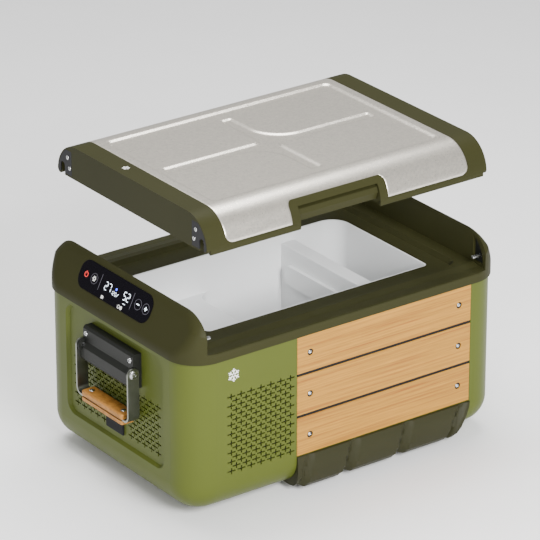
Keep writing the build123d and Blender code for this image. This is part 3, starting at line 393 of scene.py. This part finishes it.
def cross_distance(x, y):
    """Signed distance to the pressed cross; two opposite inner corners have a large round."""
    px, py = x - CROSS_X, y - CROSS_Y
    mid_x, mid_y = (ARM_X[0] + ARM_X[1]) / 2 - CROSS_X, (ARM_Y[0] + ARM_Y[1]) / 2 - CROSS_Y
    along = box_distance(px - mid_x, py, (ARM_X[1] - ARM_X[0]) / 2, CROSS_HALF, ARM_CORNER)
    upright = box_distance(px, py - mid_y, CROSS_HALF, (ARM_Y[1] - ARM_Y[0]) / 2, ARM_CORNER)
    nearest = min(along, upright)
    fillet = CROSS_ROUND if px * py > 0 else CROSS_SHARP
    dx, dy = abs(px) - CROSS_HALF, abs(py) - CROSS_HALF
    if dx < fillet and dy < fillet:
        nearest = min(nearest, fillet - math.hypot(fillet - dx, fillet - dy))
    return nearest


def edge_distance(x, z):
    """Signed distance to the cover's outline seen from the front, negative inside."""
    sheet_edge = box_distance(x, z - COVER_EDGE_Z - SHEET_REACH, COVER_HALF_X, SHEET_REACH, COVER_CORNER)
    notch_mid, notch_half = (NOTCH_X[0] + NOTCH_X[1]) / 2, (NOTCH_X[1] - NOTCH_X[0]) / 2
    notch = box_distance(x - notch_mid, z - NOTCH_TOP + NOTCH_REACH, notch_half, NOTCH_REACH, NOTCH_CORNER)
    return max(sheet_edge, -notch)


def cover_relief(x, y, z):
    """Height of the pressed sheet above the plain lid outline."""
    height = 0.0
    if abs(y) < ARC_Y + 1 * MM:
        inside = -box_distance(x, y, RECESS_X, RECESS_Y, RECESS_CORNER)
        height -= RECESS_DEEP * smooth_step(0, PRESS_SLOPE, inside)
        height -= CROSS_DEEP * (1 - smooth_step(-PRESS_SLOPE, 0, cross_distance(x, y)))
    border = -edge_distance(x, z)
    height -= EDGE_ROLL * (1 - smooth_step(0, EDGE_ROLL_WIDTH, border))
    return height


def cover_section():
    """(y, z, normal y, normal z) round the lid from the front lower edge to the rear one."""
    low_angle = math.asin(max(-1.0, (COVER_EDGE_Z - 1 * MM - ARC_Z) / LID_RADIUS))
    arc = math.pi / 2 - low_angle
    count = math.ceil(arc * LID_RADIUS / SHEET_STEP)
    front = []
    for index in range(count + 1):
        angle = low_angle + arc * index / count
        front.append((
            -ARC_Y - LID_RADIUS * math.cos(angle), ARC_Z + LID_RADIUS * math.sin(angle),
            -math.cos(angle), math.sin(angle),
        ))
    flat_count = math.ceil(2 * ARC_Y / SHEET_STEP)
    flat = [
        (-ARC_Y + 2 * ARC_Y * index / flat_count, lid_high.z, 0.0, 1.0) for index in range(1, flat_count)
    ]
    return front + flat + [(-y, z, -ny, nz) for y, z, ny, nz in reversed(front)]


def pressed_cover():
    """The sheet as a closed thin solid, then trimmed to its outline."""
    section = cover_section()
    columns = math.ceil(2 * COVER_HALF_X / SHEET_STEP)
    points, faces = [], []
    for layer in (0, 1):
        for index in range(columns + 1):
            x = -COVER_HALF_X + 2 * COVER_HALF_X * index / columns
            for y, z, ny, nz in section:
                lift = cover_relief(x, y, z) - layer * SHEET_THICK
                points.append((x, y + ny * lift, z + nz * lift))
    rows = len(section)
    sheet = (columns + 1) * rows
    for index in range(columns):
        for j in range(rows - 1):
            a, b = index * rows + j, (index + 1) * rows + j
            faces.append((a, b, b + 1, a + 1))
            faces.append((sheet + a + 1, sheet + b + 1, sheet + b, sheet + a))
    rim = [i * rows for i in range(columns + 1)]
    rim += [columns * rows + j for j in range(1, rows)]
    rim += [i * rows + rows - 1 for i in range(columns - 1, -1, -1)]
    rim += [j for j in range(rows - 2, 0, -1)]
    for a, b in zip(rim, rim[1:] + rim[:1]):
        faces.append((a, b, sheet + b, sheet + a))
    cover = from_lists("lid_metal_sheet", points, faces)
    cutter = outline_cutter()
    trim = cover.modifiers.new("trim", "BOOLEAN")
    trim.operation = "INTERSECT"
    trim.object = cutter
    trim.solver = "EXACT"
    depsgraph = bpy.context.evaluated_depsgraph_get()
    trimmed = bpy.data.meshes.new_from_object(cover.evaluated_get(depsgraph))
    cover.modifiers.clear()
    cover.data = trimmed
    bpy.data.objects.remove(cutter)
    return cover


def round_corner(centre, radius, start, stop, count=8):
    """Points of an arc in the plane, angles in degrees."""
    out = []
    for index in range(count + 1):
        angle = math.radians(start + (stop - start) * index / count)
        out.append((centre[0] + radius * math.cos(angle), centre[1] + radius * math.sin(angle)))
    return out


def outline_cutter():
    """Prism along Y with the cover's front outline, reaching past the lid above, in front and behind."""
    past = 20 * MM
    half, corner, top = COVER_HALF_X - 0.1 * MM, COVER_CORNER, lid_high.z + past
    corner_z, notch_z = COVER_EDGE_Z + corner, NOTCH_TOP - NOTCH_CORNER
    outline = [(-half, top)]
    outline += round_corner((-half + corner, corner_z), corner, 180, 270)
    outline += [(NOTCH_X[0], COVER_EDGE_Z)]
    outline += round_corner((NOTCH_X[0] + NOTCH_CORNER, notch_z), NOTCH_CORNER, 180, 90)
    outline += round_corner((NOTCH_X[1] - NOTCH_CORNER, notch_z), NOTCH_CORNER, 90, 0)
    outline += [(NOTCH_X[1], COVER_EDGE_Z)]
    outline += round_corner((half - corner, corner_z), corner, 270, 360)
    outline += [(half, top)]
    depth = LID_HALF_Y + past
    count = len(outline)
    points = [(x, -depth, z) for x, z in outline] + [(x, depth, z) for x, z in outline]
    faces = [tuple(range(count)), tuple(range(2 * count - 1, count - 1, -1))]
    for index in range(count):
        after = (index + 1) % count
        faces.append((index, after, count + after, count + index))
    return from_lists("cover_cutter", points, faces, False)


piece(pressed_cover(), "lid", "lid_metal", ["lid_cover"])


def crisp(made, angle=35.0):
    """Keeps edges sharper than angle as hard edges under smooth shading."""
    work = bmesh.new()
    work.from_mesh(made.data)
    for edge in work.edges:
        edge.smooth = edge.calc_face_angle(math.pi) < math.radians(angle)
    work.to_mesh(made.data)
    work.free()
    return made


def prisms(name, outlines, place, low, high):
    """One object of flat prisms; place(u, v, h) gives the point, all in millimetres."""
    points, faces = [], []
    for outline in outlines:
        first, count = len(points), len(outline)
        points += [place(u, v, low) for u, v in outline] + [place(u, v, high) for u, v in outline]
        faces.append(tuple(range(first, first + count)))
        faces.append(tuple(range(first + 2 * count - 1, first + count - 1, -1)))
        for index in range(count):
            after = (index + 1) % count
            faces.append((first + index, first + after, first + count + after, first + count + index))
    return from_lists(name, points, faces, False)


def bar_outline(u0, v0, u1, v1, width):
    """Straight stroke between two points."""
    length = math.hypot(u1 - u0, v1 - v0)
    du, dv = (u1 - u0) / length * width / 2, (v1 - v0) / length * width / 2
    return [(u0 - dv, v0 + du), (u0 + dv, v0 - du), (u1 + dv, v1 - du), (u1 - dv, v1 + du)]


def arc_band(u, v, inner, outer, start, stop, count=24):
    """Curved stroke about a centre, angles in degrees."""
    return round_corner((u, v), inner, start, stop, count) + round_corner((u, v), outer, stop, start, count)


def ring_bands(u, v, inner, outer):
    """Full ring as two half bands."""
    return [arc_band(u, v, inner, outer, start, start + 180) for start in (0, 180)]


def ray(u, v, turn, near, far, width):
    """Straight stroke pointing away from (u, v), turn in radians."""
    du, dv = math.cos(turn), math.sin(turn)
    return bar_outline(u + near * du, v + near * dv, u + far * du, v + far * dv, width)


def disc_outline(u, v, radius, count=20):
    """Circle outline."""
    return round_corner((u, v), radius, 0, 360 - 360 / count, count - 1)


def box_outline(u0, u1, v0, v1):
    """Upright rectangle outline."""
    return [(u0, v0), (u1, v0), (u1, v1), (u0, v1)]


SEGMENTS = {"2": "abged", "5": "afgcd", "7": "abc", "1": "bc", "0": "abcdef"}


def digit(figure, u, v, width, height, stroke):
    """Seven-segment figure from its lower left corner."""
    gap = stroke * 0.2
    middle, top, right = v + height / 2, v + height, u + width
    ends = {
        "a": (u, top, right, top), "g": (u, middle, right, middle), "d": (u, v, right, v),
        "f": (u, middle, u, top), "b": (right, middle, right, top),
        "e": (u, v, u, middle), "c": (right, v, right, middle),
    }
    strokes = []
    for segment in SEGMENTS[figure]:
        u0, v0, u1, v1 = ends[segment]
        if v0 == v1:
            strokes.append(bar_outline(u0 + stroke / 2 + gap, v0, u1 - stroke / 2 - gap, v1, stroke))
        else:
            strokes.append(bar_outline(u0, v0 + stroke / 2 + gap, u1, v1 - stroke / 2 - gap, stroke))
    return strokes


# ---- control panel: figures, signs and rings, in millimetres over the panel's face ----
PANEL_RUN, PANEL_RISE = 33.0, 66.6
PANEL_ANGLE = math.atan2(PANEL_RUN, PANEL_RISE)
PANEL_MIDDLE = (-278.0, 0.0, 304.3)
PLATE_FACE, KEY_FACE = 0.8, 1.0
PRINT_SUNK, PRINT_PROUD = 0.2, 0.15
POWER_U, SETTINGS_U, MINUS_U, PLUS_U = -90.2, -69.3, 45.8, 65.9
KEY_V = 4.2
RING_INNER, RING_OUTER = 7.6, 8.3
DIVIDER_FEET = ((-53.5, -8), (30.5, -9))
DIVIDER_TOP, DIVIDER_WIDTH = 17, 0.9
LARGE_FIGURE = {"width": 6.0, "height": 12, "stroke": 1.2}
LARGE_PLACES = (("2", -40, -2), ("7", -31, -2), ("5", 8, -1), ("2", 17, -1))
SMALL_FIGURE = {"width": 2.8, "height": 5.5, "stroke": 0.8}
SMALL_PLACES = (("1", -22, -3), ("2", -17.5, -3), ("0", -12.5, -3))
SIGN_V = -13.7
SIGN_STROKE = 1.6


def panel_place(u, v, h):
    """Point over the control panel: u to the right, v up the slope, h off its face."""
    across, rise = math.sin(PANEL_ANGLE), math.cos(PANEL_ANGLE)
    return (
        (PANEL_MIDDLE[0] + v * across - h * rise) * MM, (PANEL_MIDDLE[1] - u) * MM,
        (PANEL_MIDDLE[2] + v * rise + h * across) * MM,
    )


def panel_print(name, outlines, look, body="body", face=PLATE_FACE):
    """Thin raised print on the panel or on one of its keys."""
    made = prisms(name, outlines, panel_place, face - PRINT_SUNK, face + PRINT_PROUD)
    return piece(made, body, look)


def key_print(key, outlines, look):
    """Print on one push button, which rides with it."""
    return panel_print(f"{key}_sign", outlines, look, f"{key}_key", KEY_FACE)


dividers = [bar_outline(u, v, u, DIVIDER_TOP, DIVIDER_WIDTH) for u, v in DIVIDER_FEET]
panel_print("panel_dividers", dividers, "display_line")
key_rings = []
for ring_u in (SETTINGS_U, MINUS_U, PLUS_U):
    key_rings += ring_bands(ring_u, KEY_V, RING_INNER, RING_OUTER)
panel_print("key_rings", key_rings, "display_line")

display_figures = []
for places, style in ((LARGE_PLACES, LARGE_FIGURE), (SMALL_PLACES, SMALL_FIGURE)):
    for figure, figure_u, figure_v in places:
        display_figures += digit(figure, figure_u, figure_v, **style)
slash, underline = bar_outline(-8, -3, -4, 2.5, 0.8), bar_outline(12, -6.5, 18, -6.5, 0.9)
panel_print("display_figures", display_figures + [slash, underline], "display_white")
panel_print("display_dot", [disc_outline(-12.2, 7.2, 1.9)], "display_blue")

battery_sign = [box_outline(-40.5, -35.5, -16.2, -11.4), box_outline(-34.8, -34.0, -15.0, -12.6)]
mode_signs = ring_bands(5.4, SIGN_V, 2.1, 3.0) + [disc_outline(11.6, SIGN_V, 2.9)]
panel_print("panel_signs", battery_sign + mode_signs, "white_print")

power_arc = arc_band(POWER_U, KEY_V, 3.2, 4.6, 120, 420)
power_bar = bar_outline(POWER_U, KEY_V + 1.2, POWER_U, KEY_V + 5.4, 1.4)
key_print("power", [power_arc, power_bar], "display_red")
gear_teeth = [ray(SETTINGS_U, KEY_V, tooth * math.pi / 3, 2.9, 4.4, 1.5) for tooth in range(6)]
key_print("settings", ring_bands(SETTINGS_U, KEY_V, 1.7, 3.1) + gear_teeth, "white_print")
key_print("minus", [bar_outline(MINUS_U - 3.2, KEY_V, MINUS_U + 3.2, KEY_V, SIGN_STROKE)], "display_white")
key_print("plus", [
    bar_outline(PLUS_U - 3.2, KEY_V, PLUS_U + 3.2, KEY_V, SIGN_STROKE),
    bar_outline(PLUS_U, KEY_V + 0.8, PLUS_U, KEY_V + 3.2, SIGN_STROKE),
    bar_outline(PLUS_U, KEY_V - 0.8, PLUS_U, KEY_V - 3.2, SIGN_STROKE),
], "display_white")


# ---- snowflake badges ----
def snowflake(u, v, size):
    """Strokes of a plain six-armed snowflake, each arm with two short branches."""
    strokes = []
    for index in range(6):
        turn = math.pi / 2 + index * math.pi / 3
        strokes.append(ray(u, v, turn, 0.16 * size, size, 0.17 * size))
        root_u, root_v = u + 0.52 * size * math.cos(turn), v + 0.52 * size * math.sin(turn)
        for side in (-1, 1):
            branch = turn + side * math.pi / 3.6
            strokes.append(ray(root_u, root_v, branch, 0.10 * size, 0.38 * size, 0.14 * size))
    return strokes


LID_TOP = lid_high.z / MM
BADGE_SUNK = 0.3
FRONT_BADGE = {"u": -211, "v": 233, "size": 10.5}
LID_BADGE = {"u": -238.3, "v": 37.7, "size": 6.0}
front_badge = prisms(
    "front_badge", snowflake(**FRONT_BADGE),
    lambda u, v, h: (u * MM, -(FRONT_FACE + h) * MM, v * MM), -BADGE_SUNK, 0.35,
)
piece(front_badge, "body", "white_print")
lid_badge = prisms(
    "lid_badge", snowflake(**LID_BADGE),
    lambda u, v, h: (u * MM, v * MM, (LID_TOP + h) * MM), -BADGE_SUNK, 0.3,
)
piece(lid_badge, "lid", "white_print")


# ---- bumpers, in millimetres: three swollen lobes and a tail, cut slantwise at the plain end ----
SHELL_ROUND = 44.0
ROUND_Y, ROUND_Z = FRONT_FACE - SHELL_ROUND, 14.0 + SHELL_ROUND
SHELL_GAP = 0.4
INNER_TURNS = (0, 14, 28, 42, 54, 66, 77)
BUMPER_X = (-96.4, 231.8)
BUMPER_LOW, BUMPER_TOP = 8.0, 65.0
BUMPER_RISE = BUMPER_TOP - BUMPER_LOW
BUMPER_STEPS = 219
TAIL_X, TAIL_LEAN = 178.0, 32.0
LOBE_EDGES = (-96.4, -10.0, 91.0, 198.0, 240.0)
LOBE_LEAN = 20.0
LOBE_DIP, LOBE_GROW, LOBE_DROP = 3.0, 9.0, 6.0
START_SWELL = 0.3
# (distance from the middle, height) of the outer face, in a dip and on a lobe
LOW_SECTION = (
    (195.4, 65), (196.3, 64), (196.4, 58), (195.9, 45), (195.3, 31), (191.5, 22), (185, 15.5), (176, 13),
    (160, 13),
)
HIGH_SECTION = (
    (195.6, 65), (198.2, 64), (201.4, 57), (203.6, 45), (203.4, 29), (200.2, 18.5), (193, 10.8), (182, 8),
    (160, 8),
)


def lobe_swell(x, z):
    """How far a bumper is swollen at x: slow rise, quick fall, the dips leaning over with height."""
    x -= LOBE_LEAN * (z - BUMPER_LOW) / BUMPER_RISE
    for start, stop in zip(LOBE_EDGES, LOBE_EDGES[1:]):
        if start <= x < stop:
            rise = max(0.0, min(1.0, (x - start - LOBE_DIP) / LOBE_GROW))
            fall = max(0.0, min(1.0, (stop - LOBE_DIP - x) / LOBE_DROP))
            return min(rise, fall)
    return START_SWELL if x < LOBE_EDGES[0] else 0.0


def bumper(side, side_name):
    """Bumper swept along X from its changing section, its back following the shell's bottom round."""
    inner = [(FRONT_FACE + SHELL_GAP, BUMPER_TOP)]
    for turn in INNER_TURNS:
        angle = math.radians(turn)
        radius = SHELL_ROUND + SHELL_GAP
        inner.append((ROUND_Y + radius * math.cos(angle), ROUND_Z - radius * math.sin(angle)))
    inner.reverse()
    points, faces = [], []
    for index in range(BUMPER_STEPS + 1):
        x = BUMPER_X[0] + (BUMPER_X[1] - BUMPER_X[0]) * index / BUMPER_STEPS
        outer = []
        for low, high in zip(LOW_SECTION, HIGH_SECTION):
            swell = lobe_swell(x, low[1])
            outer.append((low[0] + (high[0] - low[0]) * swell, low[1] + (high[1] - low[1]) * swell))
        tail = max(0.0, (x - TAIL_X) / (BUMPER_X[1] - TAIL_X))
        for y, z in outer + inner:
            drop = (BUMPER_TOP - z) / BUMPER_RISE
            points.append(((x - TAIL_LEAN * tail * drop) * MM, side * y * MM, z * MM))
    ring = len(LOW_SECTION) + len(inner)
    for index in range(BUMPER_STEPS):
        for j in range(ring):
            a, b = index * ring + j, index * ring + (j + 1) % ring
            faces.append((a, b, b + ring, a + ring))
    faces.append(tuple(range(ring)))
    faces.append(tuple(BUMPER_STEPS * ring + j for j in reversed(range(ring))))
    made = crisp(from_lists(f"{side_name}_bumper_lobes", points, faces), angle=24.0)
    return piece(made, "body", "bumper_olive", [f"{side_name}_bumper"])


for side, side_name in SIDES:
    bumper(side, side_name)


# ---- screw heads, in millimetres ----
HEAD_TURNS = 72
# shares of the head's radius and height
HEAD_DOME = ((1.0, 0.0), (1.0, 0.35), (0.95, 0.62), (0.8, 0.85), (0.62, 0.96))
SOCKET_RADIUS, SOCKET_FLOOR = 0.45, 0.35
SLOT_RINGS = ((0.56, False), (0.54, True), (0.28, True), (0.26, False))
SLOT_FLOOR = 0.45
SLOT_EVERY, SLOT_HALF = 24, 3


def head_across(axis):
    """Two directions square to a screw's axis."""
    side = Vector((0, 0, 1)) if abs(axis.z) < 0.5 else Vector((1, 0, 0))
    return side, axis.cross(side)


def hex_rings(radius, height):
    """Rings of a hexagon socket: its mouth, then its floor."""
    hexagon = []
    for index in range(HEAD_TURNS):
        turn = math.radians((index * 360 / HEAD_TURNS) % 60 - 30)
        hexagon.append(SOCKET_RADIUS * radius * math.cos(math.pi / 6) / math.cos(turn))
    return [[(r, share * height) for r in hexagon] for share in (1.0, SOCKET_FLOOR)]


def slot_rings(radius, height):
    """Rings of three radial slots cut into the head's top."""
    rings = []
    for reach, cut in SLOT_RINGS:
        ring = []
        for index in range(HEAD_TURNS):
            off = min(index % SLOT_EVERY, SLOT_EVERY - index % SLOT_EVERY)
            ring.append((reach * radius, height * (SLOT_FLOOR if cut and off <= SLOT_HALF else 1.0)))
        rings.append(ring)
    return rings


def screw_heads(name, places, axis, radius, height, shank, drive=hex_rings):
    """Domed heads on their shanks; drive gives the rings of the socket or slots."""
    axis = Vector(axis).normalized()
    side, other = head_across(axis)
    shank_radius, shank_length = shank
    round_rings = [(shank_radius, -shank_length), (shank_radius, 0.0)]
    round_rings += [(r * radius, h * height) for r, h in HEAD_DOME]
    rings = [[spot] * HEAD_TURNS for spot in round_rings] + drive(radius, height)
    points, faces = [], []
    for centre in places:
        first = len(points)
        for ring in rings:
            for index, (r, h) in enumerate(ring):
                turn = 2 * math.pi * index / HEAD_TURNS
                spot = Vector(centre) + axis * h + (side * math.cos(turn) + other * math.sin(turn)) * r
                points.append(tuple(spot * MM))
        for level in range(len(rings) - 1):
            for index in range(HEAD_TURNS):
                after = (index + 1) % HEAD_TURNS
                a, b = first + level * HEAD_TURNS + index, first + level * HEAD_TURNS + after
                faces.append((a, b, b + HEAD_TURNS, a + HEAD_TURNS))
        faces.append(tuple(first + index for index in range(HEAD_TURNS)))
        last = first + (len(rings) - 1) * HEAD_TURNS
        faces.append(tuple(last + index for index in reversed(range(HEAD_TURNS))))
    return crisp(from_lists(name, points, faces), angle=30.0)


def washers(name, places, axis, inner, outer, thick):
    """Flat rings round screw heads, with a small bevel."""
    axis = Vector(axis).normalized()
    side, other = head_across(axis)
    turns = 32
    section = [(inner, 0.0), (outer, 0.0), (outer, thick * 0.6), (outer - 0.3, thick), (inner, thick)]
    corners = len(section)
    points, faces = [], []
    for centre in places:
        first = len(points)
        for index in range(turns):
            turn = 2 * math.pi * index / turns
            out = side * math.cos(turn) + other * math.sin(turn)
            points += [tuple((Vector(centre) + out * r + axis * h) * MM) for r, h in section]
        for index in range(turns):
            here, there = first + index * corners, first + (index + 1) % turns * corners
            for j in range(corners):
                k = (j + 1) % corners
                faces.append((here + j, there + j, there + k, here + k))
    return crisp(from_lists(name, points, faces), angle=30.0)


# ---- thin lip under the lid's front edge, on both sides of the latch notch ----
LID_HEIGHT = 52.5
LID_LOW = LID_TOP - LID_HEIGHT
# (distance behind the front face, height over the lid's underside)
LIP_SECTION = [
    (4.5, 4), (0.2, 6), (0, 4), (0.2, -1.6), (1.2, -3.0), (3.2, -3.0), (5.5, -1.0), (5.5, 1.0),
]
for lip_name, lip_x in (("lid_lip_left", (-250.0, -89.5)), ("lid_lip_right", (56.0, 250.0))):
    lip_outline = [(inward - FRONT_FACE, LID_LOW + rise) for inward, rise in LIP_SECTION]
    lip = prisms(lip_name, [lip_outline], lambda u, v, h: (h * MM, u * MM, v * MM), *lip_x)
    piece(lip, "lid", "trim_olive")


def painted_shade_filling(name, outlines, side, low, high):
    """Dark sheet standing in for the shade seen through gaps in the front or rear face (painted shade), low
    to high away from the middle.
    """
    made = prisms(name, outlines, lambda u, v, h: (u * MM, side * h * MM, v * MM), low, high)
    return piece(made, "body", "dark_plastic")


# ---- dark sheets behind the side vents: painted shade seen through the holes ----
VENT_X, VENT_Z, VENT_HALF_X, VENT_HALF_Z = -161.8, 138.0, 62.0, 68.0
VENT_OUTLINE = box_outline(
    VENT_X - VENT_HALF_X, VENT_X + VENT_HALF_X, VENT_Z - VENT_HALF_Z, VENT_Z + VENT_HALF_Z,
)
for side, side_name in SIDES:
    # solid dark sheet just behind each vent grille, painted shade for the dark compartment behind the holes
    painted_shade_filling(f"{side_name}_vent_shade_sheet", [VENT_OUTLINE], side, 190.2, 191.2)

# ---- screws, rings and painted-shade gap fillings of the slats ----
SLAT_SCREW_X = (-72.3, 208.3)
SLAT_SCREW_Z = (231.8, 163.8, 96.4)
SLAT_SEAT = 192.9
SLAT_GAP_Z = ((196.5, 200.5), (128.5, 132.5))
SLAT_GAP_X = (BUMPER_X[0] + 1.5, BUMPER_X[1] - 1.5)
for side, side_name in SIDES:
    slat_places = [(x, side * SLAT_SEAT, z) for x in SLAT_SCREW_X for z in SLAT_SCREW_Z]
    heads = screw_heads(
        f"{side_name}_slat_screw_heads", slat_places, (0, side, 0), radius=3.3, height=2.1, shank=(1.9, 10),
    )
    piece(heads, "body", "steel_hardware", ["slat_screws"] if side < 0 else ())
    # the dark rings are partly real dark rings round the heads, partly painted shadow of the counterbores
    rings = washers(
        f"{side_name}_slat_screw_rings", slat_places, (0, side, 0), inner=3.4, outer=5.1, thick=1.5,
    )
    piece(rings, "body", "dark_plastic")
    gap_outlines = [box_outline(*SLAT_GAP_X, low, high) for low, high in SLAT_GAP_Z]
    # dark strips set almost flush in the slat gaps are painted shade, so the gaps read dark from above
    painted_shade_filling(f"{side_name}_slat_gap_shade", gap_outlines, side, 187.0, 194.0)

# ---- screws of the handles and of the lid's end brackets ----
PIVOT_X, PIVOT_Z = 303.0, 210.0
PIVOT_FACE = 69.5
GRIP_SEAT, GRIP_SCREW_Y = 140.8, 42.0
BRACKET_FACE, BRACKET_SCREW_Y, BRACKET_SCREW_Z = 301.0, 58.0, 229.0
LID_BRACKET_FACE = 256.5
# distance from the middle and height over the lid's underside
LID_BRACKET_SCREWS = ((166.5, 30.5), (161.5, 14.6))
for end, end_name in ENDS:
    handle = f"{end_name}_handle"
    grip_places = [(end * PIVOT_X, y, GRIP_SEAT) for y in (-GRIP_SCREW_Y, GRIP_SCREW_Y)]
    heads = screw_heads(
        f"{end_name}_grip_screw_heads", grip_places, (0, 0, 1), radius=4.4, height=2.4, shank=(2.0, 14),
    )
    piece(heads, handle, "steel_hardware", [f"grip_screws_{end_name}"])
    for side, side_name in SIDES:
        pivot_place = (end * PIVOT_X, side * PIVOT_FACE, PIVOT_Z)
        heads = screw_heads(
            f"{end_name}_pivot_screw_{side_name}", [pivot_place], (0, side, 0),
            radius=7.0, height=2.6, shank=(3.9, 11), drive=slot_rings,
        )
        replaced = [f"pivot_screws_{end_name}"] if side < 0 else ()
        piece(heads, handle, "steel_hardware", replaced)
    bracket_places = [(end * BRACKET_FACE, y, BRACKET_SCREW_Z) for y in (-BRACKET_SCREW_Y, BRACKET_SCREW_Y)]
    heads = screw_heads(
        f"{end_name}_bracket_screw_heads", bracket_places, (end, 0, 0),
        radius=4.2, height=2.2, shank=(2.0, 14),
    )
    piece(heads, "body", "steel_hardware", ["bracket_screws"] if end < 0 else ())
    lid_places = [
        (end * LID_BRACKET_FACE, side * y, LID_LOW + z) for side, _ in SIDES for y, z in LID_BRACKET_SCREWS
    ]
    heads = screw_heads(
        f"{end_name}_lid_screw_heads", lid_places, (end, 0, 0), radius=3.4, height=1.3, shank=(1.4, 5),
    )
    piece(heads, "lid", "steel_hardware", ["lid_bracket_screws"] if end < 0 else ())
